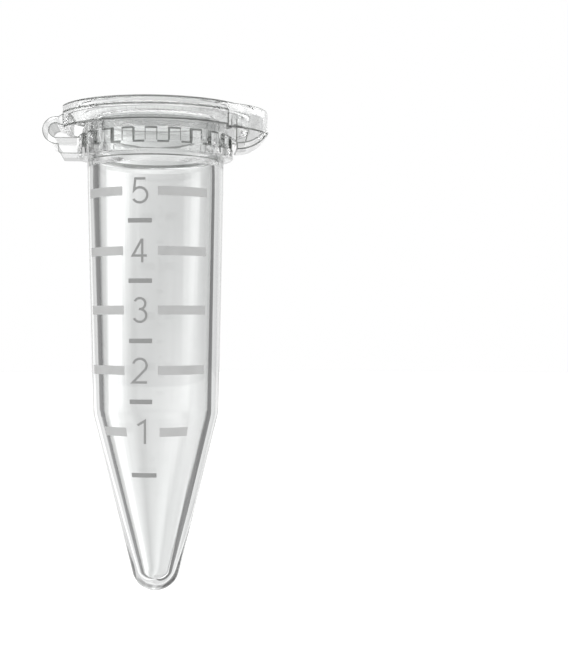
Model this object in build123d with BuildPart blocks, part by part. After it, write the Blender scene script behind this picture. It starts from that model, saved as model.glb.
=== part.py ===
"""Snap-lid microcentrifuge tube, 5 mL, with its lid closed.

Millimetres.  +Z runs up the tube's axis from the outside of its tip, at the origin.  The hinge is
on the -X side and the thumb lip and latch on the +X side.  The graduations face -Y.
"""
import os
from math import cos, radians, sin, sqrt, tan

from build123d import *

# ---- tube wall ----
TIP_R = 3.0                # round outer tip
CONE_ANGLE = 13.8          # half angle of the conical base
CONE_TOP_Z = 22.1
NECK_R = 8.4
NECK_BOTTOM_Z = 50.3       # from here to the flare the outside has no draft, so a rack hole can hold it
FLARE_BOTTOM_Z = 53.15     # a small flare leads into the collar
MOUTH_R = 8.65             # outside of the wall, inside the collar and the mouth band
NECK_TOP_Z = 56.2
WALL = 1.38
MOUTH_BORE_R = 7.6         # the bore widens just below the mouth, to take the plug
LEAD_IN_BOTTOM_Z = 52.4
LEAD_IN_TOP_Z = 53.0
SHOULDER_FILLET = 4.0      # where the cone turns into the barrel

# ---- collar, castellations and mouth ----
COLLAR_R = 9.6
COLLAR_BOTTOM_Z = 53.45
COLLAR_TOP_Z = 54.6
COLLAR_CHAMFER = 0.15
TOOTH_R = 9.5              # outside of the castellations, which stand on the mouth band
TOOTH_COUNT = 21
TOOTH_SHARE = 0.52         # tooth width over pitch, at the foot
TOOTH_LEAN = 0.15          # each flank leans in by this much at the top
FIRST_TOOTH_ANGLE = -76.2  # puts a gap just right of the front
BAND_R = 9.0               # plain band round the mouth, behind the teeth and just over them
BAND_TOP_Z = 56.95
RIM_R = 8.8
RIM_TOP_Z = 57.9
MOUTH_CHAMFER = 0.3

# ---- lid ----
LID_R = 11.8
LID_FLAT_X = -11.15        # straight edge beside the hinge
PLATE_BOTTOM_Z = 58.45
PLATE_TOP_Z = 59.5
PLATE_CHAMFER = 0.2
LABEL_R = 8.9              # shallow round recess to write on
LABEL_DEPTH = 0.25
SKIRT_INSET = 0.1          # the skirt stands this far inside the plate's edge
SKIRT_WALL = 0.85
SKIRT_BOTTOM_Z = 56.75

# ---- plug, which seals in the bore ----
PLUG_TOP_R = 7.4
PLUG_BOTTOM_R = 7.1
PLUG_BOTTOM_Z = 53.1
PLUG_WALL = 0.95
PLUG_LEAD_IN = 0.25
BEAD_Z = 55.2
BEAD_R = 7.48
BEAD_HALF_HEIGHT = 0.5

# ---- thumb lip and latch ----
LIP_CENTRE_X = 5.0
LIP_R = 8.9
LIP_WALL = 0.55
LIP_BOTTOM_Z = 56.45
HOOK_WIDTH = 6.2
HOOK_THICKNESS = 0.9
HOOK_TIP_X = 9.85          # clear of the collar
HOOK_BOTTOM_Z = 54.5
HOOK_BULGE = (0.45, 0.6)   # places the middle of the hook's curve, out from halfway and up from its bottom
RIB_WIDTH = 3.8

# ---- living hinge ----
HINGE_WIDTH = 7.7
BOW_X = -11.9              # centre of the bow's curve
BOW_Z = 56.4
BOW_R = 1.65
STRAP_THICKNESS = 0.8
STRAP_END_X = -11.65       # where the bow meets its root on the tube and its tab on the lid
ROOT_BOTTOM_Z = 53.6
ROOT_BEVEL = 0.35
TAB_SLOPE = 0.25

# ---- graduations ----
MARK_DEPTH = 0.06          # how far a mark stands out from the wall
FULL_BAR_HEIGHT = 1.07
HALF_BAR_HEIGHT = 0.54
FULL_LEVELS = {5: 48.8, 4: 41.75, 3: 34.75, 2: 27.6, 1: 20.25}           # mL: height
HALF_LEVELS = {4.5: 45.3, 3.5: 38.2, 2.5: 31.1, 1.5: 23.9, 0.5: 15.0}
LEFT_BAR = (-69.5, -27.8)  # start and end, in degrees round the wall from the front
RIGHT_BAR = (1.8, 46.5)
HALF_BAR = (-23.0, -3.1)
CONE_LEFT_BAR = (-54.3, -28.2)
CONE_RIGHT_BAR = (3.4, 30.4)
CONE_HALF_BAR = (-28.0, 0.8)
NUMERAL_X = -1.87
NUMERAL_HALF_WIDTH = 0.83
NUMERAL_HALF_HEIGHT = 1.4
NUMERAL_STROKE = 0.28

# ---- derived ----
SLOPE = tan(radians(CONE_ANGLE))
CONE_TOP_R = (TIP_R * cos(radians(CONE_ANGLE))
              + (CONE_TOP_Z - TIP_R * (1 - sin(radians(CONE_ANGLE)))) * SLOPE)


def outer_radius(z):
    """Outside radius of the tube's wall at a height above its round tip."""
    if z < CONE_TOP_Z:
        return CONE_TOP_R - (CONE_TOP_Z - z) * SLOPE
    if z < NECK_BOTTOM_Z:
        return CONE_TOP_R + (NECK_R - CONE_TOP_R) * (z - CONE_TOP_Z) / (NECK_BOTTOM_Z - CONE_TOP_Z)
    return NECK_R


def finish(name, piece):
    """Label a finished piece and write it under its own name."""
    piece.part.label = name
    export_step(piece.part, f"parts/{name}.step")


os.makedirs("parts", exist_ok=True)


# ================================ tube ================================
def wall_outline(inset, mouth):
    """Half section inside the wall's surface, moved in by inset; mouth is its points above the barrel."""
    tip_r = TIP_R - inset
    tangent = (tip_r * cos(radians(CONE_ANGLE)), TIP_R - tip_r * sin(radians(CONE_ANGLE)))
    cone_top = (CONE_TOP_R - inset, tangent[1] + (CONE_TOP_R - inset - tangent[0]) / SLOPE)
    Polyline(tangent, cone_top, *mouth, (0, NECK_TOP_Z), (0, inset))
    RadiusArc((0, inset), tangent, -tip_r)


with BuildPart() as tube_body:
    with BuildSketch(Plane.XZ):
        with BuildLine():
            wall_outline(0, [(NECK_R, NECK_BOTTOM_Z), (NECK_R, FLARE_BOTTOM_Z),
                             (MOUTH_R, COLLAR_BOTTOM_Z), (MOUTH_R, NECK_TOP_Z)])
        make_face()
        with BuildLine():
            wall_outline(WALL, [(outer_radius(LEAD_IN_BOTTOM_Z) - WALL, LEAD_IN_BOTTOM_Z),
                                (MOUTH_BORE_R, LEAD_IN_TOP_Z), (MOUTH_BORE_R, NECK_TOP_Z)])
        make_face(mode=Mode.SUBTRACT)
    revolve(axis=Axis.Z)
    shoulders = tube_body.edges().filter_by_position(Axis.Z, CONE_TOP_Z - 1, CONE_TOP_Z + 1)
    fillet(shoulders.filter_by(GeomType.CIRCLE), SHOULDER_FILLET)
finish("tube_body", tube_body)

with BuildPart() as collar:
    with BuildSketch(Plane.XY.offset(COLLAR_BOTTOM_Z)):
        Circle(COLLAR_R)
        Circle(MOUTH_R, mode=Mode.SUBTRACT)
    extrude(amount=COLLAR_TOP_Z - COLLAR_BOTTOM_Z)
    chamfer(collar.edges().group_by(Axis.Z)[0].sort_by(SortBy.RADIUS)[-1], COLLAR_CHAMFER)
finish("collar", collar)

tooth_half_width = TOOTH_SHARE * radians(180 / TOOTH_COUNT) * TOOTH_R
with BuildPart() as tooth:
    with BuildSketch(Plane.YZ):
        Polygon((-tooth_half_width, COLLAR_TOP_Z), (tooth_half_width, COLLAR_TOP_Z),
                (tooth_half_width - TOOTH_LEAN, NECK_TOP_Z), (TOOTH_LEAN - tooth_half_width, NECK_TOP_Z),
                align=None)
    extrude(amount=TOOTH_R + 1)
    with BuildSketch(Plane.XY.offset(COLLAR_TOP_Z)):
        Circle(TOOTH_R)
        Circle(BAND_R, mode=Mode.SUBTRACT)
    extrude(amount=NECK_TOP_Z - COLLAR_TOP_Z, mode=Mode.INTERSECT)

with BuildPart() as castellations:
    with PolarLocations(0, TOOTH_COUNT, start_angle=FIRST_TOOTH_ANGLE):
        add(tooth.part)
finish("castellations", castellations)

with BuildPart() as mouth_rim:
    with BuildSketch(Plane.XZ):
        Polygon((MOUTH_BORE_R, NECK_TOP_Z), (MOUTH_R, NECK_TOP_Z), (MOUTH_R, COLLAR_TOP_Z),
                (BAND_R, COLLAR_TOP_Z), (BAND_R, BAND_TOP_Z), (RIM_R, BAND_TOP_Z), (RIM_R, RIM_TOP_Z),
                (MOUTH_BORE_R, RIM_TOP_Z), align=None)
    revolve(axis=Axis.Z)
    chamfer(mouth_rim.edges().group_by(Axis.Z)[-1], MOUTH_CHAMFER)
finish("mouth_rim", mouth_rim)


# ================================ lid ================================
def lid_outline(inset):
    """The lid seen from above: a circle with a straight edge on the hinge side."""
    radius = LID_R - inset
    flat_x = LID_FLAT_X + inset
    half_flat = sqrt(radius ** 2 - flat_x ** 2)
    ThreePointArc((flat_x, -half_flat), (radius, 0), (flat_x, half_flat))
    Line((flat_x, half_flat), (flat_x, -half_flat))


with BuildPart() as lid_plate:
    with BuildSketch(Plane.XY.offset(PLATE_BOTTOM_Z)):
        with BuildLine():
            lid_outline(0)
        make_face()
    extrude(amount=PLATE_TOP_Z - PLATE_BOTTOM_Z)
    chamfer(lid_plate.edges().group_by(Axis.Z)[-1], PLATE_CHAMFER)
    with BuildSketch(Plane.XY.offset(PLATE_TOP_Z)):
        Circle(LABEL_R)
    extrude(amount=-LABEL_DEPTH, mode=Mode.SUBTRACT)
finish("lid_plate", lid_plate)

with BuildPart() as lid_skirt:
    with BuildSketch(Plane.XY.offset(SKIRT_BOTTOM_Z)):
        with BuildLine():
            lid_outline(SKIRT_INSET)
        make_face()
        with BuildLine():
            lid_outline(SKIRT_INSET + SKIRT_WALL)
        make_face(mode=Mode.SUBTRACT)
    extrude(amount=PLATE_BOTTOM_Z - SKIRT_BOTTOM_Z)
finish("lid_skirt", lid_skirt)


def plug_radius(z):
    """Outside radius of the plug, which tapers evenly towards its mouth."""
    share = (z - PLUG_BOTTOM_Z) / (PLATE_BOTTOM_Z - PLUG_BOTTOM_Z)
    return PLUG_BOTTOM_R + share * (PLUG_TOP_R - PLUG_BOTTOM_R)


with BuildPart() as lid_plug:
    with BuildSketch(Plane.XZ):
        Polygon((PLUG_TOP_R, PLATE_BOTTOM_Z),
                (plug_radius(PLUG_BOTTOM_Z + PLUG_LEAD_IN), PLUG_BOTTOM_Z + PLUG_LEAD_IN),
                (PLUG_BOTTOM_R - PLUG_LEAD_IN, PLUG_BOTTOM_Z),
                (PLUG_BOTTOM_R - PLUG_WALL, PLUG_BOTTOM_Z),
                (PLUG_TOP_R - PLUG_WALL, PLATE_BOTTOM_Z), align=None)
    revolve(axis=Axis.Z)
finish("lid_plug", lid_plug)

with BuildPart() as sealing_bead:
    bead_foot = (plug_radius(BEAD_Z - BEAD_HALF_HEIGHT), BEAD_Z - BEAD_HALF_HEIGHT)
    bead_head = (plug_radius(BEAD_Z + BEAD_HALF_HEIGHT), BEAD_Z + BEAD_HALF_HEIGHT)
    with BuildSketch(Plane.XZ):
        with BuildLine():
            ThreePointArc(bead_foot, (BEAD_R, BEAD_Z), bead_head)
            Line(bead_head, bead_foot)
        make_face()
    revolve(axis=Axis.Z)
finish("sealing_bead", sealing_bead)

# The lip is a crescent outside the lid's edge, with a thin curtain under its outer edge.
with BuildPart() as thumb_lip:
    with BuildSketch(Plane.XY.offset(PLATE_BOTTOM_Z)):
        with Locations((LIP_CENTRE_X, 0)):
            Circle(LIP_R)
        Circle(LID_R, mode=Mode.SUBTRACT)
    extrude(amount=PLATE_TOP_Z - PLATE_BOTTOM_Z)
    chamfer(thumb_lip.edges().group_by(Axis.Z)[-1].sort_by(Axis.X)[-1], PLATE_CHAMFER)
    with BuildSketch(Plane.XY.offset(LIP_BOTTOM_Z)):
        with Locations((LIP_CENTRE_X, 0)):
            Circle(LIP_R)
            Circle(LIP_R - LIP_WALL, mode=Mode.SUBTRACT)
        Circle(LID_R, mode=Mode.SUBTRACT)
    extrude(amount=PLATE_BOTTOM_Z - LIP_BOTTOM_Z)
finish("thumb_lip", thumb_lip)

# The latch hook swings down from the curtain and in towards the collar.
LIP_OUTER_X = LIP_CENTRE_X + LIP_R
hook_mid = ((LIP_OUTER_X + HOOK_TIP_X) / 2 + HOOK_BULGE[0], HOOK_BOTTOM_Z + HOOK_BULGE[1])
hook_inner_mid = (hook_mid[0] - HOOK_THICKNESS / 2, hook_mid[1] + 0.75 * HOOK_THICKNESS)
with BuildPart() as latch_hook:
    with BuildSketch(Plane.XZ):
        with BuildLine():
            ThreePointArc((LIP_OUTER_X, LIP_BOTTOM_Z), hook_mid, (HOOK_TIP_X, HOOK_BOTTOM_Z))
            Line((HOOK_TIP_X, HOOK_BOTTOM_Z), (HOOK_TIP_X, HOOK_BOTTOM_Z + HOOK_THICKNESS))
            ThreePointArc((HOOK_TIP_X, HOOK_BOTTOM_Z + HOOK_THICKNESS), hook_inner_mid,
                          (LIP_OUTER_X - HOOK_THICKNESS, LIP_BOTTOM_Z))
            Line((LIP_OUTER_X - HOOK_THICKNESS, LIP_BOTTOM_Z), (LIP_OUTER_X, LIP_BOTTOM_Z))
        make_face()
    extrude(amount=HOOK_WIDTH / 2, both=True)
    with BuildSketch(Plane.XY.offset(HOOK_BOTTOM_Z - 1)):
        with Locations((LIP_CENTRE_X, 0)):
            Circle(LIP_R)
    extrude(amount=LIP_BOTTOM_Z - HOOK_BOTTOM_Z + 2, mode=Mode.INTERSECT)
finish("latch_hook", latch_hook)

# A flat rib stiffens the hook from inside the skirt.
with BuildPart() as latch_rib:
    with BuildSketch(Plane.XY.offset(HOOK_BOTTOM_Z)):
        Circle(LID_R - SKIRT_INSET - SKIRT_WALL)
        with Locations((HOOK_TIP_X, 0)):
            Rectangle(LID_R, RIB_WIDTH, align=(Align.MIN, Align.CENTER), mode=Mode.INTERSECT)
    extrude(amount=PLATE_BOTTOM_Z - HOOK_BOTTOM_Z)
    add(latch_hook.part, mode=Mode.SUBTRACT)
    split(bisect_by=Plane.XY.offset(HOOK_BOTTOM_Z + HOOK_THICKNESS), keep=Keep.TOP)
finish("latch_rib", latch_rib)

# ============================ living hinge ============================
STRAP_TOP_Z = BOW_Z + BOW_R
STRAP_BOTTOM_Z = BOW_Z - BOW_R
with BuildPart() as hinge_strap:
    with BuildSketch(Plane.XZ):
        with BuildLine():
            Line((STRAP_END_X, STRAP_TOP_Z), (BOW_X, STRAP_TOP_Z))
            ThreePointArc((BOW_X, STRAP_TOP_Z), (BOW_X - BOW_R, BOW_Z), (BOW_X, STRAP_BOTTOM_Z))
            Polyline((BOW_X, STRAP_BOTTOM_Z), (STRAP_END_X, STRAP_BOTTOM_Z),
                     (STRAP_END_X, STRAP_BOTTOM_Z + STRAP_THICKNESS),
                     (BOW_X, STRAP_BOTTOM_Z + STRAP_THICKNESS))
            ThreePointArc((BOW_X, STRAP_BOTTOM_Z + STRAP_THICKNESS),
                          (BOW_X - BOW_R + STRAP_THICKNESS, BOW_Z),
                          (BOW_X, STRAP_TOP_Z - STRAP_THICKNESS))
            Polyline((BOW_X, STRAP_TOP_Z - STRAP_THICKNESS), (STRAP_END_X, STRAP_TOP_Z - STRAP_THICKNESS),
                     (STRAP_END_X, STRAP_TOP_Z))
        make_face()
    extrude(amount=HINGE_WIDTH / 2, both=True)
finish("hinge_strap", hinge_strap)

with BuildPart() as hinge_tab:
    with BuildSketch(Plane.XZ):
        Polygon((LID_FLAT_X + SKIRT_INSET, PLATE_BOTTOM_Z), (STRAP_END_X, PLATE_BOTTOM_Z - TAB_SLOPE),
                (STRAP_END_X, STRAP_TOP_Z - STRAP_THICKNESS - TAB_SLOPE / 2),
                (LID_FLAT_X + SKIRT_INSET, SKIRT_BOTTOM_Z + TAB_SLOPE), align=None)
    extrude(amount=HINGE_WIDTH / 2, both=True)
finish("hinge_tab", hinge_tab)

with BuildPart() as hinge_root:
    with BuildSketch(Plane.XZ):
        Polygon((0, STRAP_BOTTOM_Z + STRAP_THICKNESS), (STRAP_END_X, STRAP_BOTTOM_Z + STRAP_THICKNESS),
                (STRAP_END_X, ROOT_BOTTOM_Z + ROOT_BEVEL), (STRAP_END_X + ROOT_BEVEL, ROOT_BOTTOM_Z),
                (0, ROOT_BOTTOM_Z), align=None)
    extrude(amount=HINGE_WIDTH / 2, both=True)
    with BuildSketch(Plane.XY.offset(ROOT_BOTTOM_Z - 1)):
        Circle(COLLAR_R)
    extrude(amount=STRAP_TOP_Z - ROOT_BOTTOM_Z, mode=Mode.SUBTRACT)
finish("hinge_root", hinge_root)


# ============================ graduations ============================
def radial_plane(angle):
    """The upright plane through the tube's axis, at an angle to the right of the front."""
    turn = radians(angle - 90)
    return Plane(origin=(0, 0, 0), x_dir=(cos(turn), sin(turn), 0), z_dir=(sin(turn), -cos(turn), 0))


def skin_outline(z, height):
    """Cross section of a thin skin on the wall, for marks centred at z."""
    low = z - height / 2
    high = z + height / 2
    Polygon((outer_radius(low), low), (outer_radius(low) + MARK_DEPTH, low),
            (outer_radius(high) + MARK_DEPTH, high), (outer_radius(high), high), align=None)


# Rows of bars: the heights, a bar's own height, and its span on the barrel and on the cone.
BAR_ROWS = {
    "full_bars_left": (FULL_LEVELS, FULL_BAR_HEIGHT, LEFT_BAR, CONE_LEFT_BAR),
    "full_bars_right": (FULL_LEVELS, FULL_BAR_HEIGHT, RIGHT_BAR, CONE_RIGHT_BAR),
    "half_bars": (HALF_LEVELS, HALF_BAR_HEIGHT, HALF_BAR, CONE_HALF_BAR),
}
for row, (levels, bar_height, barrel_span, cone_span) in BAR_ROWS.items():
    with BuildPart() as bars:
        for bar_z in levels.values():
            start, end = cone_span if bar_z < CONE_TOP_Z else barrel_span
            with BuildSketch(radial_plane(start)):
                skin_outline(bar_z, bar_height)
            revolve(axis=Axis.Z, revolution_arc=end - start)
    finish(row, bars)

# Each numeral is drawn as pen strokes about its own centre, W half wide and H half high.
W = NUMERAL_HALF_WIDTH
H = NUMERAL_HALF_HEIGHT


def stroke_one():
    Polyline((-0.35 * W, 0.62 * H), (0.7 * W, H), (0.7 * W, -H))


def stroke_two():
    bowl = 0.95 * W
    curve = CenterArc((0, H - bowl), bowl, 165, -210)
    Polyline(curve @ 1, (-W, -H), (W, -H))


def stroke_three():
    upper = 0.78 * W
    lower = H - upper
    CenterArc((0, H - upper), upper, 155, -255)
    CenterArc((0, lower - H), lower, 80, -235)


def stroke_four():
    # The slope starts just beside the stem, so their corner isn't drawn out to a point.
    Line((0.35 * W, -H), (0.35 * W, H))
    Polyline((0.3 * W, 0.96 * H), (-W, -0.42 * H), (W, -0.42 * H))


def stroke_five():
    bowl = 1.06 * W
    curve = CenterArc((0, bowl - H), bowl, 138, -286)
    Polyline((0.8 * W, H), (-0.62 * W, H), curve @ 0)


STROKES = {1: stroke_one, 2: stroke_two, 3: stroke_three, 4: stroke_four, 5: stroke_five}
SKIN_HEIGHT = 2 * (H + NUMERAL_STROKE)
for value, draw_strokes in STROKES.items():
    numeral_z = FULL_LEVELS[value]
    with BuildPart() as numeral:
        with BuildSketch(Plane(origin=(NUMERAL_X, 0, numeral_z), x_dir=(1, 0, 0), z_dir=(0, -1, 0))):
            with BuildLine():
                draw_strokes()
            trace(line_width=NUMERAL_STROKE)
        extrude(amount=NECK_R + 1)
        with BuildSketch(Plane.XZ):
            skin_outline(numeral_z, SKIN_HEIGHT)
        revolve(axis=Axis.Z, mode=Mode.INTERSECT)
    finish(f"numeral_{value}", numeral)
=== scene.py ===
"""Looks of the snap-lid microcentrifuge tube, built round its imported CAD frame.

Lengths are in millimetres until a mesh is made.  The frame's axes hold: +Z up the tube's axis from its
tip, -X to the hinge, +X to the thumb lip, and the graduations face -Y.
"""
from math import acos, atan2, cos, pi, radians, sin, sqrt, tan

import bmesh
import bpy
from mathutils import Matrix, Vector


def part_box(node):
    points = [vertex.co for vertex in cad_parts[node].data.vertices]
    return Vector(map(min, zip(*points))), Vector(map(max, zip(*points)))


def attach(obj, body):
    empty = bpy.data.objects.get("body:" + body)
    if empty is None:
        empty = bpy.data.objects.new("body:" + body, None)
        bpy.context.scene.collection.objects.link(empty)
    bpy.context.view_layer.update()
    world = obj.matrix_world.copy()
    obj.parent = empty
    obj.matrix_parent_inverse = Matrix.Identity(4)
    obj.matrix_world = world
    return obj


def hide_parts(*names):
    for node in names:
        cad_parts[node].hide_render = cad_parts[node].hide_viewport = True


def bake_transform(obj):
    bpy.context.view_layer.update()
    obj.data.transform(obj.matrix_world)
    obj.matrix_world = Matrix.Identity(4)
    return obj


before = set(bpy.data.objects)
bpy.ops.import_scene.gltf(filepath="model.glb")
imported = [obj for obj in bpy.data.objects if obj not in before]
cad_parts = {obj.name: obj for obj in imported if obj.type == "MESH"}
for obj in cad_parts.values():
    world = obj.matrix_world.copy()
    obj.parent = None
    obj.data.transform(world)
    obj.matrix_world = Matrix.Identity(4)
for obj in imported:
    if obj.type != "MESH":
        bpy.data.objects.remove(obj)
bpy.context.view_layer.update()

MM = 0.001
scene = bpy.context.scene


def mm_box(node):
    """Lowest and highest corner of a CAD node, in millimetres."""
    low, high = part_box(node)
    return low / MM, high / MM


# ---- sizes read from the frame ----
body_high = mm_box("tube_body")[1]
collar_low, collar_high = mm_box("collar")
tooth_high = mm_box("castellations")[1]
rim_high = mm_box("mouth_rim")[1]
plate_low, plate_high = mm_box("lid_plate")
skirt_low = mm_box("lid_skirt")[0]
plug_low, plug_high = mm_box("lid_plug")
bead_low, bead_high = mm_box("sealing_bead")
lip_low, lip_high = mm_box("thumb_lip")
hook_low, hook_high = mm_box("latch_hook")
rib_low, rib_high = mm_box("latch_rib")
strap_low, strap_high = mm_box("hinge_strap")
root_low = mm_box("hinge_root")[0]

# ---- tube wall ----
TIP_R = 3.0
CONE_ANGLE = radians(13.8)
CONE_TOP_Z = 22.1
NECK_R = 8.4
NECK_BOTTOM_Z = 50.3
FLARE_BOTTOM_Z = 53.15
WALL = 1.38
LEAD_IN_BOTTOM_Z = 52.4
LEAD_IN_TOP_Z = 53.0
SHOULDER_R = 4.0
TIP_STEPS = 14             # rings from the tip's pole to the cone
MOUTH_R = body_high.x
MOUTH_BORE_R = 7.6
EDGE = 0.11                # rounding of a crisp moulded edge
BEVEL_STEPS = 3
TOOTH_COUNT = 21
FIRST_TOOTH_ANGLE = radians(-76.2)
TOOTH_SHARE = 0.52
TOOTH_R = tooth_high.y
COLLAR_R = collar_high.x
BAND_R = rim_high.x
GAP_R = BAND_R - 0.03
BAND_TOP_Z = 56.95
FLANK = 0.017              # width of a tooth's flank, in millimetres round the collar
TOOTH_SHADE_LINE = 0.26          # height of the painted dark shade line along a tooth's top and a gap's foot
RIM_R = 8.8
MOUTH_CHAMFER = 0.3

# ---- lid ----
LID_R = plate_high.x
LID_FLAT_X = -plate_low.x
SKIRT_INSET = 0.1
SKIRT_WALL = 0.85
STRAIGHT_MARGIN = 0.25     # the straight side by the hinge starts this far inside the skirt's inner face
LID_COLUMNS = 216
LABEL_R = 8.9
LABEL_DEPTH = 0.25
LABEL_BORDER = 0.5         # the edges of the lid are sought from this far outside the recess
LABEL_SLOPE = 0.12         # the recess's wall leans out by this much
HUB_R = 0.8                # innermost ring of the lid's skin, round each pole
PLUG_TOP_R = plug_high.x
PLUG_BOTTOM_R = 7.1
PLUG_WALL = 0.95
PLUG_LEAD_IN = 0.25
BEAD_FOOT, BEAD_HEAD = 0.15, 0.2   # the plug's growth in radius up to the bead, and past it
PLUG_FOOT_SHADE_LINE = 0.33      # height of the painted dark shade line round the plug's foot
LID_SHADE_LINE = 0.18            # height of the painted dark shade line along the plate's and the skirt's lower edges
LIP_R = 8.9
LIP_CENTRE_X = lip_high.x - LIP_R
LIP_STEP = 0.16            # the lip's top lies this far under the lid's
LIP_WALL = 0.55
LIP_OVERLAP = 0.4          # the lip's crescent runs this far into the lid
LIP_STEPS = 24             # steps along half of the lip's arc
CURTAIN_LAP = 0.3          # the curtain runs this far into the lip
HOOK_LAP = 0.15            # the hook runs this far up into the curtain
HOOK_THICKNESS = 0.9
HOOK_BULGE = (0.45, 0.6)
HOOK_INSIDE = (-0.5, 0.75) # from the middle of the hook's outer arc to its inner arc's, in thicknesses
RIB_FOOT = 1.2             # length of the rib's foot along the hook
RIB_LAPS = (0.1, 0.2, 0.3) # how far the rib runs into the hook, the plate and the skirt
LIP_EDGE, CURTAIN_EDGE, HOOK_EDGE, RIB_EDGE = 0.18, 0.16, 0.2, 0.15

# ---- hinge ----
STRAP_THICKNESS = 0.8
ROOT_BEVEL = 0.35
TAB_SLOPE = 0.25
HINGE_EDGE = 0.18
HINGE_ROWS = 12            # rows over half of the hinge's width
BOW_STEPS = 20
EDGE_FACE = 0.13           # faces narrower than this belong to a rounded edge, and take the painted dark shade line
SLACK = 0.02               # allowed when a face's middle is compared with a height or a radius
SEAM = 0.02                # pieces of one moulding run into each other by this much

# ---- graduations ----
MARK_GAP = 0.012           # clear of the wall, so that the two surfaces never fight
MARK_DEPTH = 0.045
CORNER_R = 0.1
# A bar's rounded corner, in shares of its radius: (distance from the bar's end, taken off its height).
CORNER_STEPS = ((0, 0.3), (0.3, 0.09), (1, 0))
BAR_STEP = 0.35
LEFT_BAR = (-69.5, -27.8)
RIGHT_BAR = (1.8, 46.5)
HALF_BAR = (-23.0, -3.1)
CONE_LEFT_BAR = (-54.3, -28.2)
CONE_RIGHT_BAR = (3.4, 30.4)
CONE_HALF_BAR = (-28.0, 0.8)
FULL_BAR_HEIGHT = 1.07
HALF_BAR_HEIGHT = 0.54
FULL_LEVELS = (48.8, 41.75, 34.75, 27.6, 20.25)
HALF_LEVELS = (45.3, 38.2, 31.1, 23.9, 15.0)

CONE_SLOPE = tan(CONE_ANGLE)
CONE_TOP_R = TIP_R * cos(CONE_ANGLE) + (CONE_TOP_Z - TIP_R * (1 - sin(CONE_ANGLE))) * CONE_SLOPE


# ============================ mesh helpers ============================
def outer_radius(z):
    """Outside radius of the tube's wall at a height above its tip."""
    if z < CONE_TOP_Z:
        return CONE_TOP_R - (CONE_TOP_Z - z) * CONE_SLOPE
    share = min((z - CONE_TOP_Z) / (NECK_BOTTOM_Z - CONE_TOP_Z), 1)
    return CONE_TOP_R + (NECK_R - CONE_TOP_R) * share


def rounded(corners, steps=5):
    """A polyline through (x, z, radius) corners, each with a radius rounded off by an arc."""
    points = []
    for i, (x, z, radius) in enumerate(corners):
        if not radius:
            points.append((x, z))
            continue
        here = Vector((x, z))
        back = (Vector(corners[i - 1][:2]) - here).normalized()
        ahead = (Vector(corners[(i + 1) % len(corners)][:2]) - here).normalized()
        half = back.angle(ahead) / 2
        centre = here + (back + ahead).normalized() * (radius / sin(half))
        first = here + back * (radius / tan(half)) - centre
        last = here + ahead * (radius / tan(half)) - centre
        sweep = first.angle_signed(last)
        for k in range(steps + 1):
            turn = -sweep * k / steps
            points.append((centre.x + first.x * cos(turn) - first.y * sin(turn),
                           centre.y + first.x * sin(turn) + first.y * cos(turn)))
    return points


def divided(points, longest):
    """The same polyline, with no stretch longer than a length."""
    result = [points[0]]
    for (x0, z0), (x1, z1) in zip(points, points[1:]):
        parts = max(1, round(sqrt((x1 - x0) ** 2 + (z1 - z0) ** 2) / longest))
        result += [(x0 + (x1 - x0) * k / parts, z0 + (z1 - z0) * k / parts) for k in range(1, parts + 1)]
    return result


def arc_through(start, middle, end, steps):
    """Points along the circular arc from start through middle to end."""
    a, b, c = Vector(start), Vector(middle), Vector(end)
    ab, ac = b - a, c - a
    cross = 2 * (ab.x * ac.y - ab.y * ac.x)
    centre = a + Vector((ac.y * ab.length_squared - ab.y * ac.length_squared,
                         ab.x * ac.length_squared - ac.x * ab.length_squared)) / cross
    first, last = a - centre, c - centre
    sweep = -first.angle_signed(last)
    mid = -first.angle_signed(b - centre)
    if sweep * mid < 0 or abs(mid) > abs(sweep):
        sweep -= 2 * pi * (1 if sweep > 0 else -1)
    return [(centre.x + first.x * cos(sweep * k / steps) - first.y * sin(sweep * k / steps),
             centre.y + first.x * sin(sweep * k / steps) + first.y * cos(sweep * k / steps))
            for k in range(steps + 1)]


def new_piece(name, vertices, faces, sharp=35):
    """A mesh object from millimetre vertices, outward facing, smooth except where it turns sharply."""
    mesh = bpy.data.meshes.new(name)
    mesh.from_pydata([[c * MM for c in v] for v in vertices], [], faces)
    piece = bpy.data.objects.new(name, mesh)
    scene.collection.objects.link(piece)
    face_outward(mesh)
    smooth(mesh, sharp)
    return piece


def face_outward(mesh):
    """Turn every face's normal to the outside of its closed shell."""
    work = bmesh.new()
    work.from_mesh(mesh)
    bmesh.ops.recalc_face_normals(work, faces=work.faces)
    work.to_mesh(mesh)
    work.free()


def smooth(mesh, sharp=35):
    """Smooth shading, split at edges that turn by more than an angle."""
    mesh.shade_smooth()
    mesh.set_sharp_from_angle(angle=radians(sharp))


def level_normals(piece):
    """Large flat faces keep flat shading, and the small roundings beside them take up the turn."""
    leveller = piece.modifiers.new("level_normals", "WEIGHTED_NORMAL")
    leveller.mode = "FACE_AREA"
    leveller.weight = 90
    leveller.keep_sharp = True


def bevel_crisp_edges(mesh, turn, offset):
    """Rounds every edge that turns by more than an angle in degrees, over an offset in millimetres."""
    work = bmesh.new()
    work.from_mesh(mesh)
    crisp = [e for e in work.edges if e.calc_face_angle(0) > radians(turn)]
    bmesh.ops.bevel(work, geom=crisp, offset=offset * MM, segments=BEVEL_STEPS, profile=0.5,
                    affect="EDGES", clamp_overlap=True)
    work.to_mesh(mesh)
    work.free()


def loft(name, rings, sharp=35):
    """A closed skin through rings of equal length.  A ring of one point is a pole."""
    vertices, starts, faces = [], [], []
    for ring in rings:
        starts.append(len(vertices))
        vertices += ring
    for low, high, a, b in zip(rings, rings[1:], starts, starts[1:]):
        count = max(len(low), len(high))
        for k in range(count):
            n = (k + 1) % count
            face = [a + (k if len(low) > 1 else 0), a + (n if len(low) > 1 else 0),
                    b + (n if len(high) > 1 else 0), b + (k if len(high) > 1 else 0)]
            faces.append(tuple(dict.fromkeys(face)))
    return new_piece(name, vertices, faces, sharp)


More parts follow.
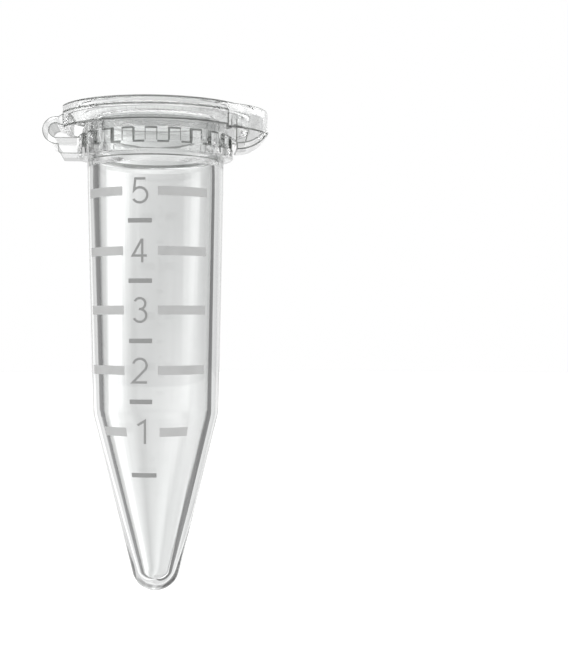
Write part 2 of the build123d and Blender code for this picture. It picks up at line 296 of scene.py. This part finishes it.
def extruded(name, outline, place, low, high, bevel=EDGE):
    """A prism over an outline, with its edges bevelled.

    place(u, v, w) gives a vertex, where w runs from low to high.
    """
    count = len(outline)
    vertices = [place(u, v, w) for w in (low, high) for u, v in outline]
    faces = [tuple(range(count)), tuple(range(count, 2 * count))]
    faces += [(k, (k + 1) % count, count + (k + 1) % count, count + k) for k in range(count)]
    piece = new_piece(name, vertices, faces)
    bevel_crisp_edges(piece.data, 30, bevel)
    return piece


def joined(base, *others):
    """The boolean union of base with other closed pieces, which are used up."""
    for other in others:
        union = base.modifiers.new("union", "BOOLEAN")
        union.operation = "UNION"
        union.solver = "EXACT"
        union.object = other
    evaluated = base.evaluated_get(bpy.context.evaluated_depsgraph_get())
    mesh = bpy.data.meshes.new_from_object(evaluated)
    base.modifiers.clear()
    base.data = mesh
    for other in others:
        bpy.data.objects.remove(other)
    smooth(base.data, sharp=32)
    return base


# ============================ tube ============================
def wall_profile(inset):
    """(radius, height) down one side of the wall, from the tip's pole to the top of the barrel."""
    tip_r = TIP_R - inset
    sweep = pi / 2 - CONE_ANGLE
    arc = [(tip_r * sin(k / TIP_STEPS * sweep), TIP_R - tip_r * cos(k / TIP_STEPS * sweep))
           for k in range(TIP_STEPS + 1)]
    shoulder_z = arc[-1][1] + (CONE_TOP_R - inset - arc[-1][0]) / CONE_SLOPE
    top = (NECK_R - inset, NECK_BOTTOM_Z)
    bend = rounded([(*arc[-1], 0), (CONE_TOP_R - inset, shoulder_z, SHOULDER_R), (*top, 0)], steps=8)
    return arc, divided(bend, longest=1.2)


def tooth_columns():
    """The columns of one pitch: millimetres from the tooth's middle, and 0 in the gap to 1 on the tooth."""
    half = TOOTH_SHARE * pi * TOOTH_R / TOOTH_COUNT
    pitch = 2 * pi * TOOTH_R / TOOTH_COUNT
    depth = TOOTH_R - GAP_R
    corner = [(half - EDGE * (1 - cos(a)), 1 - EDGE * (1 - sin(a)) / depth)
              for a in (radians(turn) for turn in (0, 30, 60, 90))]
    right = [(half * share, 1.0) for share in (0.25, 0.6)] + corner[::-1] + [(half + FLANK, 0.0)]
    left = [(-along, stand_out) for along, stand_out in reversed(right)]
    gap = pitch - 2 * half
    return left + right + [(half + gap * share, 0.0) for share in (0.25, 0.5, 0.75)]


def build_tube_shell():
    """The whole tube as one skin: up the outside to the rim, then down the bore to the tip."""
    columns = [(FIRST_TOOTH_ANGLE + 2 * pi * tooth / TOOTH_COUNT + along / TOOTH_R, stand_out)
               for tooth in range(TOOTH_COUNT) for along, stand_out in tooth_columns()]

    def ring(radius, z, gap_radius=None):
        gap = radius if gap_radius is None else gap_radius
        reach = [(gap + (radius - gap) * stand_out, a) for a, stand_out in columns]
        return [(r * cos(a), r * sin(a), z) for r, a in reach]

    tip, barrel = wall_profile(0)
    collar_bottom, collar_top = collar_low.z, collar_high.z
    tooth_top = tooth_high.z
    foot = rounded([(*barrel[-1], 0), (NECK_R, FLARE_BOTTOM_Z, 0),
                    (MOUTH_R, collar_bottom, 0.08), (COLLAR_R, collar_bottom, 0.15),
                    (COLLAR_R, collar_top - TOOTH_SHADE_LINE, 0), (COLLAR_R, collar_top, EDGE),
                    (TOOTH_R, collar_top, 0)], steps=3)
    rings = [[(0, 0, 0)]]
    rings += [ring(r, z) for r, z in tip[1:] + barrel[1:] + divided(foot, longest=0.6)[1:-1]]
    rings += [ring(TOOTH_R, collar_top, GAP_R), ring(TOOTH_R, (collar_top + tooth_top) / 2, GAP_R),
              ring(TOOTH_R, tooth_top - TOOTH_SHADE_LINE, GAP_R), ring(TOOTH_R, tooth_top - EDGE, GAP_R),
              ring(TOOTH_R - EDGE, tooth_top, GAP_R),
              ring(BAND_R, tooth_top + EDGE)]
    mouth = rounded([(BAND_R, tooth_top + EDGE, 0), (BAND_R, BAND_TOP_Z, EDGE), (RIM_R, BAND_TOP_Z, EDGE),
                     (RIM_R, rim_high.z, MOUTH_CHAMFER), (MOUTH_BORE_R, rim_high.z, MOUTH_CHAMFER),
                     (MOUTH_BORE_R, LEAD_IN_TOP_Z, 0.3), (NECK_R - WALL, LEAD_IN_BOTTOM_Z, 0)],
                    steps=4)
    rings += [ring(r, z) for r, z in divided(mouth, longest=0.7)[1:]]
    inner_tip, bore = wall_profile(WALL)
    rings += [ring(r, z) for r, z in reversed(inner_tip[1:] + bore[1:])]
    rings.append([(0, 0, WALL)])
    shell = loft("tube_shell", rings)
    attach(shell, "tube")
    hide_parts("tube_body", "collar", "castellations", "mouth_rim")
    return shell


# ============================ lid ============================
def build_lid_core():
    """Plate with its label recess, skirt, and plug with its bead, as one skin about the tube's axis."""
    columns = [2 * pi * k / LID_COLUMNS for k in range(LID_COLUMNS)]

    def ring(radius, z):
        """A circle, or outside the skirt's inner face a circle with the straight side by the hinge."""
        flat = LID_FLAT_X - (LID_R - radius) if radius > straight_from else radius
        return [(max(radius * cos(a), -flat), radius * sin(a), z) for a in columns]

    top, under = plate_high.z, plate_low.z
    skirt_r = LID_R - SKIRT_INSET
    straight_from = skirt_r - SKIRT_WALL - STRAIGHT_MARGIN
    plug_foot = plug_low.z
    centre = (bead_low.z + bead_high.z) / 2
    bead = arc_through((PLUG_BOTTOM_R + BEAD_FOOT, bead_low.z), (bead_high.x, centre),
                       (PLUG_BOTTOM_R + BEAD_HEAD, bead_high.z), steps=6)
    upper = rounded([(HUB_R, top - LABEL_DEPTH, 0), (LABEL_R, top - LABEL_DEPTH, 0.1),
                     (LABEL_R + LABEL_SLOPE, top, 0.05),
                     (LID_R, top, 0.26), (LID_R, under + LID_SHADE_LINE, 0), (LID_R, under, 0.06),
                     (skirt_r, under, 0.02),
                     (skirt_r, skirt_low.z + LID_SHADE_LINE, 0), (skirt_r, skirt_low.z, 0.1),
                     (skirt_r - SKIRT_WALL, skirt_low.z, 0.1), (skirt_r - SKIRT_WALL, under, 0.2),
                     (PLUG_TOP_R, under, 0.2), (bead[-1][0], bead[-1][1], 0)], steps=4)
    lower = rounded([(bead[0][0], bead[0][1], 0), (PLUG_BOTTOM_R, plug_foot + PLUG_LEAD_IN, 0.1),
                     (PLUG_BOTTOM_R - PLUG_LEAD_IN, plug_foot, 0.1),
                     (PLUG_BOTTOM_R - PLUG_WALL, plug_foot, 0.1),
                     (PLUG_BOTTOM_R - PLUG_WALL, plug_foot + PLUG_FOOT_SHADE_LINE, 0),
                     (PLUG_TOP_R - PLUG_WALL, under, 0.3), (HUB_R, under, 0)], steps=3)
    outline = divided(upper, longest=1.0) + list(reversed(bead))[1:-1] + divided(lower, longest=1.0)
    rings = [[(0, 0, top - LABEL_DEPTH)]]
    rings += [ring(radius, z) for radius, z in outline]
    rings.append([(0, 0, under)])
    return loft("lid_shell", rings)


def along_y(u, v, w):
    """Places an outline drawn in x and z, stretched along y."""
    return u, w, v


def along_z(u, v, w):
    """Places an outline drawn in x and y, stretched along z."""
    return u, v, w


def lip_arc(radius, end, first, last, step=1):
    """Points on a circle about the lip's centre, at whole steps of its half sweep from first to last."""
    turns = [end * k / LIP_STEPS for k in range(first, last, step)]
    return [(LIP_CENTRE_X + radius * cos(a), radius * sin(a)) for a in turns]


def lip_outline():
    """The lip's crescent seen from above, its inner side running inside the lid's edge."""
    inner = LID_R - LIP_OVERLAP
    reach = acos((inner ** 2 + LIP_CENTRE_X ** 2 - LIP_R ** 2) / (2 * inner * LIP_CENTRE_X))
    end = atan2(inner * sin(reach), inner * cos(reach) - LIP_CENTRE_X)
    turns = [reach * k / LIP_STEPS for k in range(LIP_STEPS - 1, -LIP_STEPS, -1)]
    back = [(inner * cos(a), inner * sin(a)) for a in turns]
    return lip_arc(LIP_R, end, -LIP_STEPS, LIP_STEPS + 1) + back


def curtain_outline():
    """The thin curtain under the lip's edge, seen from above, ending inside the skirt."""
    end = atan2(lip_high.y, sqrt(LID_R ** 2 - lip_high.y ** 2) - LIP_CENTRE_X)
    outer = lip_arc(LIP_R, end, -LIP_STEPS, LIP_STEPS + 1)
    return outer + lip_arc(LIP_R - LIP_WALL, end, LIP_STEPS, -LIP_STEPS - 1, -1)


def build_lid_shell():
    """The lid as one moulding: its core with the thumb lip, the lip's curtain, the hook and its rib."""
    core = build_lid_core()
    lip = extruded("lip", lip_outline(), along_z, plate_low.z + SEAM, plate_high.z - LIP_STEP, LIP_EDGE)
    curtain = extruded("curtain", curtain_outline(), along_z, lip_low.z, plate_low.z + CURTAIN_LAP,
                       CURTAIN_EDGE)
    tip_x, bottom = hook_low.x, hook_low.z
    middle = ((lip_high.x + tip_x) / 2 + HOOK_BULGE[0], bottom + HOOK_BULGE[1])
    inner_middle = (middle[0] + HOOK_INSIDE[0] * HOOK_THICKNESS, middle[1] + HOOK_INSIDE[1] * HOOK_THICKNESS)
    outer = arc_through((lip_high.x - 2 * SEAM, lip_low.z + HOOK_LAP), middle, (tip_x, bottom), steps=14)
    inner = arc_through((tip_x, bottom + HOOK_THICKNESS), inner_middle,
                        (lip_high.x - HOOK_THICKNESS, lip_low.z + HOOK_LAP), steps=14)
    hook = extruded("hook", outer + inner, along_y, hook_low.y, hook_high.y, HOOK_EDGE)
    into_hook, into_plate, into_skirt = RIB_LAPS
    rib_x, rib_foot, rib_top = tip_x + SEAM, bottom + HOOK_THICKNESS - into_hook, plate_low.z + into_plate
    skirt_x = LID_R - SKIRT_INSET - into_skirt
    rib_outline = [(rib_x, rib_foot), (tip_x + RIB_FOOT, rib_foot), (skirt_x, skirt_low.z),
                   (skirt_x, rib_top), (rib_x, rib_top)]
    rib = extruded("rib", rib_outline, along_y, rib_low.y, rib_high.y, RIB_EDGE)
    shell = joined(core, lip, curtain, hook, rib)
    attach(shell, "lid")
    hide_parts("lid_plate", "lid_skirt", "lid_plug", "sealing_bead", "thumb_lip", "latch_hook",
                "latch_rib")
    return shell


# ============================ living hinge ============================
def build_hinge():
    """Root, bow and tab as one strip of plastic, curved round in a bow between root and tab."""
    half = strap_high.y
    stations = [half * k / HINGE_ROWS for k in range(-HINGE_ROWS, HINGE_ROWS + 1)]
    bow_z = (strap_low.z + strap_high.z) / 2
    bow_r = (strap_high.z - strap_low.z) / 2
    end_x = strap_high.x
    bow_x = strap_low.x + bow_r
    inside_r = bow_r - STRAP_THICKNESS
    face_x = -LID_FLAT_X + SKIRT_INSET + SEAM
    wall_x = -COLLAR_R + SEAM
    bend = [pi / 2 + pi * k / BOW_STEPS for k in range(BOW_STEPS + 1)]
    outer_bow = [(bow_x + bow_r * cos(a), bow_z + bow_r * sin(a)) for a in bend]
    inner_bow = [(bow_x + inside_r * cos(a), bow_z + inside_r * sin(a)) for a in reversed(bend)]
    outline = [(face_x, skirt_low.z + TAB_SLOPE), (face_x, plate_low.z), (end_x, strap_high.z)]
    outline += outer_bow
    outline += rounded([(*outer_bow[-1], 0), (end_x, strap_low.z, 0.1), (end_x, root_low.z, ROOT_BEVEL),
                        (wall_x, root_low.z, 0)], steps=3)[1:]
    outline += [(wall_x, strap_low.z + STRAP_THICKNESS)]
    outline += inner_bow + [(end_x, strap_high.z - STRAP_THICKNESS - TAB_SLOPE / 2)]

    def placed(x, y, z):
        """The inner end of the root follows the collar's round."""
        return (-sqrt((COLLAR_R - SEAM) ** 2 - y * y) if x == wall_x else x, y, z)

    count = len(outline)
    vertices = [placed(x, y, z) for y in stations for x, z in outline]
    faces = [tuple(range(count)), tuple(range(len(vertices) - count, len(vertices)))]
    for row in range(len(stations) - 1):
        for k in range(count):
            n = (k + 1) % count
            faces.append((row * count + k, row * count + n, (row + 1) * count + n, (row + 1) * count + k))
    hinge = new_piece("living_hinge", vertices, faces)
    bevel_crisp_edges(hinge.data, 40, HINGE_EDGE)
    smooth(hinge.data)
    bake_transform(hinge)
    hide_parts("hinge_root", "hinge_strap", "hinge_tab")
    return hinge


# ============================ graduations ============================
def bar_columns(start, end, width):
    """Across a bar: each column's angle, and the share of the corner's radius taken off its height."""
    corner = CORNER_R / width * (end - start)
    left = [(start + corner * along, off) for along, off in CORNER_STEPS]
    right = [(end - corner * along, off) for along, off in reversed(CORNER_STEPS)]
    parts = max(4, round(width / BAR_STEP))
    inner_start, inner_end = left[-1][0], right[0][0]
    flat = [(inner_start + (inner_end - inner_start) * k / parts, 0) for k in range(1, parts)]
    return left + flat + right


def build_bars(name, levels, height, barrel_span, cone_span, node):
    """A column of thin bars on the wall, one for each level."""
    vertices, faces = [], []
    for level in levels:
        start, end = (radians(a) for a in (cone_span if level < CONE_TOP_Z else barrel_span))
        columns = bar_columns(start, end, (end - start) * outer_radius(level))
        count, base = len(columns), len(vertices)
        for depth in (MARK_GAP, MARK_GAP + MARK_DEPTH):
            for up in (-1, 0, 1):
                for a, off in columns:
                    z = level + up * (height / 2 - off * CORNER_R)
                    r = outer_radius(z) + depth
                    vertices.append((r * sin(a), -r * cos(a), z))

        def at(layer, row, k):
            """A vertex: layer 0 by the wall or 1 outside, row 0 to 2 upwards, column k."""
            return base + (layer * 3 + row) * count + k

        for k in range(count - 1):
            for row in (0, 1):
                for layer in (0, 1):
                    faces.append((at(layer, row, k), at(layer, row, k + 1), at(layer, row + 1, k + 1),
                                  at(layer, row + 1, k)))
            for row in (0, 2):
                faces.append((at(0, row, k), at(0, row, k + 1), at(1, row, k + 1), at(1, row, k)))
        for k in (0, count - 1):
            for row in (0, 1):
                faces.append((at(0, row, k), at(0, row + 1, k), at(1, row + 1, k), at(1, row, k)))
    bars = new_piece(name, vertices, faces)
    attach(bars, "tube")
    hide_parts(node)
    return bars


# ============================ materials ============================
def new_material(name):
    """A material with a bare Principled shader, and its node tree."""
    material = bpy.data.materials.new(name)
    material.use_nodes = True
    tree = material.node_tree
    return material, tree, tree.nodes["Principled BSDF"]


def add_noise(tree, scale, detail=3.0):
    """Object-space noise at a scale in cycles per metre."""
    coordinates = tree.nodes.new("ShaderNodeTexCoord")
    noise = tree.nodes.new("ShaderNodeTexNoise")
    noise.inputs["Scale"].default_value = scale
    noise.inputs["Detail"].default_value = detail
    tree.links.new(coordinates.outputs["Object"], noise.inputs["Vector"])
    return noise


def add_range(tree, source, low, high):
    """Maps a 0 to 1 value to a range."""
    node = tree.nodes.new("ShaderNodeMapRange")
    node.inputs["To Min"].default_value = low
    node.inputs["To Max"].default_value = high
    tree.links.new(source, node.inputs["Value"])
    return node.outputs["Result"]


def add_bump(tree, height, shader, distance, strength):
    """Feeds a height into the shader's normal; distance is in metres."""
    bump = tree.nodes.new("ShaderNodeBump")
    bump.inputs["Distance"].default_value = distance
    bump.inputs["Strength"].default_value = strength
    tree.links.new(height, bump.inputs["Height"])
    tree.links.new(bump.outputs["Normal"], shader.inputs["Normal"])


def add_tint(tree, source, dark, light):
    """Mixes two greys by a 0 to 1 value."""
    ramp = tree.nodes.new("ShaderNodeValToRGB")
    ramp.color_ramp.elements[0].color = (*dark, 1)
    ramp.color_ramp.elements[1].color = (*light, 1)
    ramp.color_ramp.elements[0].position = 0.3
    ramp.color_ramp.elements[1].position = 0.7
    tree.links.new(source, ramp.inputs["Fac"])
    return ramp.outputs["Color"]


def clear_plastic(name, index, rough, dark, light, coat_weight=0.0):
    """Clear moulded polypropylene: glossy, tinted, with the slight flow waviness of a moulding."""
    material, tree, shader = new_material(name)
    shader.inputs["Transmission Weight"].default_value = 1.0
    shader.inputs["IOR"].default_value = index
    shader.inputs["Coat Weight"].default_value = coat_weight
    haze = add_noise(tree, 180, 4)
    tree.links.new(add_tint(tree, haze.outputs["Fac"], dark, light), shader.inputs["Base Color"])
    tree.links.new(add_range(tree, haze.outputs["Fac"], *rough), shader.inputs["Roughness"])
    flow = add_noise(tree, 220, 1)
    add_bump(tree, flow.outputs["Fac"], shader, distance=0.00001, strength=0.25)
    return material


def lighten_inside(material):
    """Leaves a plastic's painted shade dark only where it is seen from outside."""
    tree = material.node_tree
    shader = tree.nodes["Principled BSDF"]
    side = tree.nodes.new("ShaderNodeNewGeometry")
    mix = tree.nodes.new("ShaderNodeMix")
    mix.data_type = "RGBA"
    outside, inside = (socket for socket in mix.inputs if socket.type == "RGBA")
    result = next(socket for socket in mix.outputs if socket.type == "RGBA")
    tree.links.new(side.outputs["Backfacing"], mix.inputs["Factor"])
    tree.links.new(shader.inputs["Base Color"].links[0].from_socket, outside)
    inside.default_value = (0.95, 0.955, 0.95, 1)
    tree.links.new(result, shader.inputs["Base Color"])


def frosted_marks():
    """Finely etched plastic: a milky, sand-grained skin that hides most of what is behind it."""
    material, tree, shader = new_material("frosted_marks")
    grain = add_noise(tree, 9000, 2)
    cloud = add_noise(tree, 500, 3)
    tree.links.new(add_tint(tree, cloud.outputs["Fac"], (0.70, 0.705, 0.70), (0.76, 0.765, 0.76)),
                   shader.inputs["Base Color"])
    tree.links.new(add_range(tree, grain.outputs["Fac"], 0.55, 0.8), shader.inputs["Roughness"])
    shader.inputs["Alpha"].default_value = 0.86
    add_bump(tree, grain.outputs["Fac"], shader, distance=0.00003, strength=0.5)
    return material


def printed_marks():
    """Grey print: matt ink with a trace of grain and uneven cover."""
    material, tree, shader = new_material("printed_marks")
    grain = add_noise(tree, 6000, 3)
    tree.links.new(add_tint(tree, grain.outputs["Fac"], (0.37, 0.375, 0.37), (0.43, 0.435, 0.43)),
                   shader.inputs["Base Color"])
    tree.links.new(add_range(tree, grain.outputs["Fac"], 0.5, 0.7), shader.inputs["Roughness"])
    add_bump(tree, grain.outputs["Fac"], shader, distance=0.00002, strength=0.4)
    return material


def coat(piece, *materials, choose=None):
    """Gives a piece its materials.

    choose(mesh, face) returns the number of a face's material.  Without it every face takes the first.
    """
    piece.data.materials.clear()
    for material in materials:
        piece.data.materials.append(material)
    for face in piece.data.polygons:
        face.material_index = choose(piece.data, face) if choose else 0


def strip_width(mesh, face):
    """Width of a face taken as a long strip, in millimetres."""
    corners = [mesh.vertices[k].co for k in face.vertices]
    perimeter = sum((a - b).length for a, b in zip(corners, corners[1:] + corners[:1]))
    return 2 * face.area / perimeter / MM


def lid_area(mesh, face):
    """0 on a broad face, 1 on the narrow faces of a rounded edge and on the plug's foot, where dark shade
    lines are painted.
    """
    x, y, z = (c / MM for c in face.center)
    if z < plug_low.z + PLUG_FOOT_SHADE_LINE - SLACK:
        return 1
    outer = sqrt(x * x + y * y) > LABEL_R + LABEL_BORDER
    return 1 if outer and strip_width(mesh, face) < EDGE_FACE else 0


def hinge_area(mesh, face):
    """0 on a broad face, 1 on the narrow faces of a rounded edge, where dark shade lines are painted."""
    return 1 if strip_width(mesh, face) < EDGE_FACE else 0


def tube_area(mesh, face):
    """0 on the barrel and cone, 1 round the mouth, 2 on the teeth's outer edges with their painted dark
    shade lines, 3 on the plain band with painted shade from under the lid.
    """
    x, y, z = (c / MM for c in face.center)
    radius = sqrt(x * x + y * y)
    if z < collar_low.z - EDGE:
        return 0
    pitch = 2 * pi / TOOTH_COUNT
    turn = (atan2(y, x) - FIRST_TOOTH_ANGLE + pitch / 2) % pitch - pitch / 2
    along = abs(turn) * TOOTH_R
    half = TOOTH_SHARE * pi * TOOTH_R / TOOTH_COUNT
    top, foot = tooth_high.z, collar_high.z
    if radius > RIM_R - SLACK and z > top + EDGE:
        return 3
    if radius > BAND_R + SLACK and along < half + FLANK and top - TOOTH_SHADE_LINE < z < top + SLACK:
        return 2
    if radius > BAND_R and along > half and foot - TOOTH_SHADE_LINE - SLACK < z < foot + SLACK:
        return 2
    if radius > BAND_R and half - EDGE < along < half + FLANK and foot < z < top:
        return 2
    return 1


# ============================ studio ============================
# Brightness of the studio round the object, by angle to the right of straight behind it, in degrees.
STUDIO_WALL = (
    (-180, 0.85), (-146, 0.85), (-142, 0.4), (-127, 0.4), (-122, 1.0), (-110, 1.5), (-82, 1.5),
    (-72, 0.8), (-67, 0.15), (-40, 0.26), (-36, 0.3), (-34, 0.78), (-21, 0.8), (-17.5, 1.15),
    (-16, 1.3), (-9, 1.3), (-7.5, 1.0), (-4, 0.75), (0, 0.7), (3.5, 0.79), (6.5, 0.93), (8.5, 0.93),
    (11, 0.76), (33, 0.78), (41, 0.84), (43.5, 0.2), (76, 0.15), (82, 0.8), (90, 1.5), (110, 1.5),
    (127, 0.4), (146, 0.85),
)
BRIGHTEST = 1.6
# Brightness of the studio by the sine of the angle above the horizon, as a share of the wall's.
STUDIO_STOREYS = (
    (-1, 0.9), (-0.5, 0.9), (-0.35, 1.0), (0.25, 1.0), (0.36, 0.6), (0.62, 0.5), (0.74, 1.1), (1, 1.1),
)
STUDIO_LEAN = 0.5          # the panels lean this much sideways for their height
SWEEP_EDGE = -0.055        # sine of the angle below the horizon where the pale sweep ends
SWEEP_GAIN = 1.12


def build_world():
    """A white backdrop to the camera; the plastic sees the studio's panels and the gaps between them."""
    world = bpy.data.worlds.new("studio")
    scene.world = world
    world.use_nodes = True
    tree = world.node_tree
    nodes, links = tree.nodes, tree.links
    nodes.clear()
    direction = nodes.new("ShaderNodeTexCoord")
    split = nodes.new("ShaderNodeSeparateXYZ")
    links.new(direction.outputs["Generated"], split.inputs["Vector"])

    def math(operation, *values):
        """A math node; each value is a number or a socket."""
        node = nodes.new("ShaderNodeMath")
        node.operation = operation
        for socket, value in zip(node.inputs, values):
            if isinstance(value, (int, float)):
                socket.default_value = value
            else:
                links.new(value, socket)
        return node.outputs["Value"]

    def grey_ramp(source, stops):
        """A ramp of greys; the first (place, level) stop lies at 0."""
        node = nodes.new("ShaderNodeValToRGB")
        elements = node.color_ramp.elements
        elements.remove(elements[-1])
        for k, (place, level) in enumerate(stops):
            stop = elements.new(place) if k else elements[0]
            stop.color = (level, level, level, 1)
        links.new(source, node.inputs["Fac"])
        return node.outputs["Color"]

    azimuth = math("ARCTAN2", split.outputs["X"], split.outputs["Y"])
    leaning = math("SUBTRACT", azimuth, math("MULTIPLY", split.outputs["Z"], STUDIO_LEAN))
    turn = math("MULTIPLY_ADD", leaning, 1 / (2 * pi), 0.5)
    panels = grey_ramp(turn, [((angle + 180) / 360, level / BRIGHTEST) for angle, level in STUDIO_WALL])
    wall = math("MULTIPLY", panels, BRIGHTEST)
    below = math("LESS_THAN", split.outputs["Z"], SWEEP_EDGE)
    wall = math("MULTIPLY", wall, math("MULTIPLY_ADD", below, SWEEP_GAIN - 1, 1.0))
    height = math("MULTIPLY_ADD", split.outputs["Z"], 0.5, 0.5)
    storey = grey_ramp(height, [((rise + 1) / 2, level) for rise, level in STUDIO_STOREYS])
    seen = math("MULTIPLY", wall, storey)
    path = nodes.new("ShaderNodeLightPath")
    camera_gap = math("MULTIPLY", path.outputs["Is Camera Ray"], math("SUBTRACT", 1.0, seen))
    background = nodes.new("ShaderNodeBackground")
    links.new(math("ADD", seen, camera_gap), background.inputs["Color"])
    output = nodes.new("ShaderNodeOutputWorld")
    links.new(background.outputs["Background"], output.inputs["Surface"])


FLOOR_DROP = 12.0          # the floor lies this far under the tip, in millimetres
FLOOR_R = 900.0
FLOOR_SIDES = 96


def build_floor():
    """A pale, round floor, a little below the tube's tip."""
    turns = [2 * pi * k / FLOOR_SIDES for k in range(FLOOR_SIDES)]
    rings = [[(0, 0, -FLOOR_DROP)]]
    rings += [[(r * cos(a), r * sin(a), -FLOOR_DROP) for a in turns]
              for r in (FLOOR_R * 0.25, FLOOR_R * 0.5, FLOOR_R)]
    floor = loft("floor", rings)
    material, tree, shader = new_material("floor_paint")
    speckle = add_noise(tree, 40, 4)
    tree.links.new(add_tint(tree, speckle.outputs["Fac"], (0.80, 0.80, 0.80), (0.82, 0.82, 0.82)),
                   shader.inputs["Base Color"])
    shader.inputs["Roughness"].default_value = 0.9
    shader.inputs["Specular IOR Level"].default_value = 0.1
    shader.inputs["Emission Color"].default_value = (1, 1, 1, 1)
    shader.inputs["Emission Strength"].default_value = 0.75
    coat(floor, material)
    floor.visible_transmission = False
    floor.visible_glossy = False
    floor.visible_diffuse = False


# ============================ camera ============================
EYE_DISTANCE = 155.5       # from the tube's axis
EYE_HEIGHT = 33.8
EYE_YAW = 5.88             # degrees to the right
EYE_PITCH = -0.32
LENS = 68.95
SENSOR_WIDTH = 36


def build_camera():
    """The view from in front of the graduations, a little below the collar."""
    data = bpy.data.cameras.new("camera")
    data.lens = LENS
    data.sensor_width = SENSOR_WIDTH
    data.clip_start = 0.01
    camera = bpy.data.objects.new("camera", data)
    scene.collection.objects.link(camera)
    camera.location = (0, -EYE_DISTANCE * MM, EYE_HEIGHT * MM)
    camera.rotation_euler = (radians(90 + EYE_PITCH), 0, -radians(EYE_YAW))
    scene.camera = camera


# ============================ assembly ============================
WALL_INDEX = 1.49          # refractive index of the barrel and cone
THIN_INDEX = 1.12          # and of the thin mouldings, which bend the light less
THIN_COAT = 0.6
GLOSSY = (0.0, 0.03)       # least and greatest roughness
SATIN = (0.02, 0.05)

plastic = clear_plastic("clear_plastic", WALL_INDEX, GLOSSY, (0.925, 0.934, 0.930), (0.945, 0.950, 0.948))
thin_plastic = clear_plastic("thin_plastic", THIN_INDEX, GLOSSY, (0.93, 0.935, 0.933),
                             (0.95, 0.955, 0.953), THIN_COAT)
# painted shade: near-black plastic for dark lines on the narrow faces of rounded edges, standing in for the
# dark edges that refraction gives
painted_edge_shade = clear_plastic("painted_edge_shade", THIN_INDEX, SATIN, (0.09, 0.095, 0.09),
                             (0.12, 0.125, 0.12), THIN_COAT)
# painted shade: mid-grey plastic on the mouth's plain band, standing in for the shade under the lid's skirt
painted_band_shade = clear_plastic("painted_band_shade", THIN_INDEX, SATIN, (0.42, 0.425, 0.42),
                             (0.48, 0.485, 0.48), THIN_COAT)
lighten_inside(painted_edge_shade)
lighten_inside(painted_band_shade)
frosting = frosted_marks()
print_ink = printed_marks()

tube_shell = build_tube_shell()
coat(tube_shell, plastic, thin_plastic, painted_edge_shade, painted_band_shade, choose=tube_area)
level_normals(tube_shell)
for piece, area in ((build_lid_shell(), lid_area), (build_hinge(), hinge_area)):
    coat(piece, thin_plastic, painted_edge_shade, choose=area)
    level_normals(piece)
bars_left = build_bars("bars_left", FULL_LEVELS, FULL_BAR_HEIGHT, LEFT_BAR, CONE_LEFT_BAR,
                       "full_bars_left")
bars_right = build_bars("bars_right", FULL_LEVELS, FULL_BAR_HEIGHT, RIGHT_BAR, CONE_RIGHT_BAR,
                        "full_bars_right")
bars_half = build_bars("bars_half", HALF_LEVELS, HALF_BAR_HEIGHT, HALF_BAR, CONE_HALF_BAR,
                       "half_bars")
coat(bars_left, frosting)
coat(bars_right, frosting)
coat(bars_half, print_ink)
for value in range(1, 6):
    coat(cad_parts[f"numeral_{value}"], print_ink)

build_world()
build_floor()
build_camera()
scene.view_settings.view_transform = "Standard"
scene.cycles.use_denoising = True
scene.cycles.max_bounces = 64
scene.cycles.transmission_bounces = 64
scene.cycles.glossy_bounces = 64
scene.cycles.transparent_max_bounces = 16
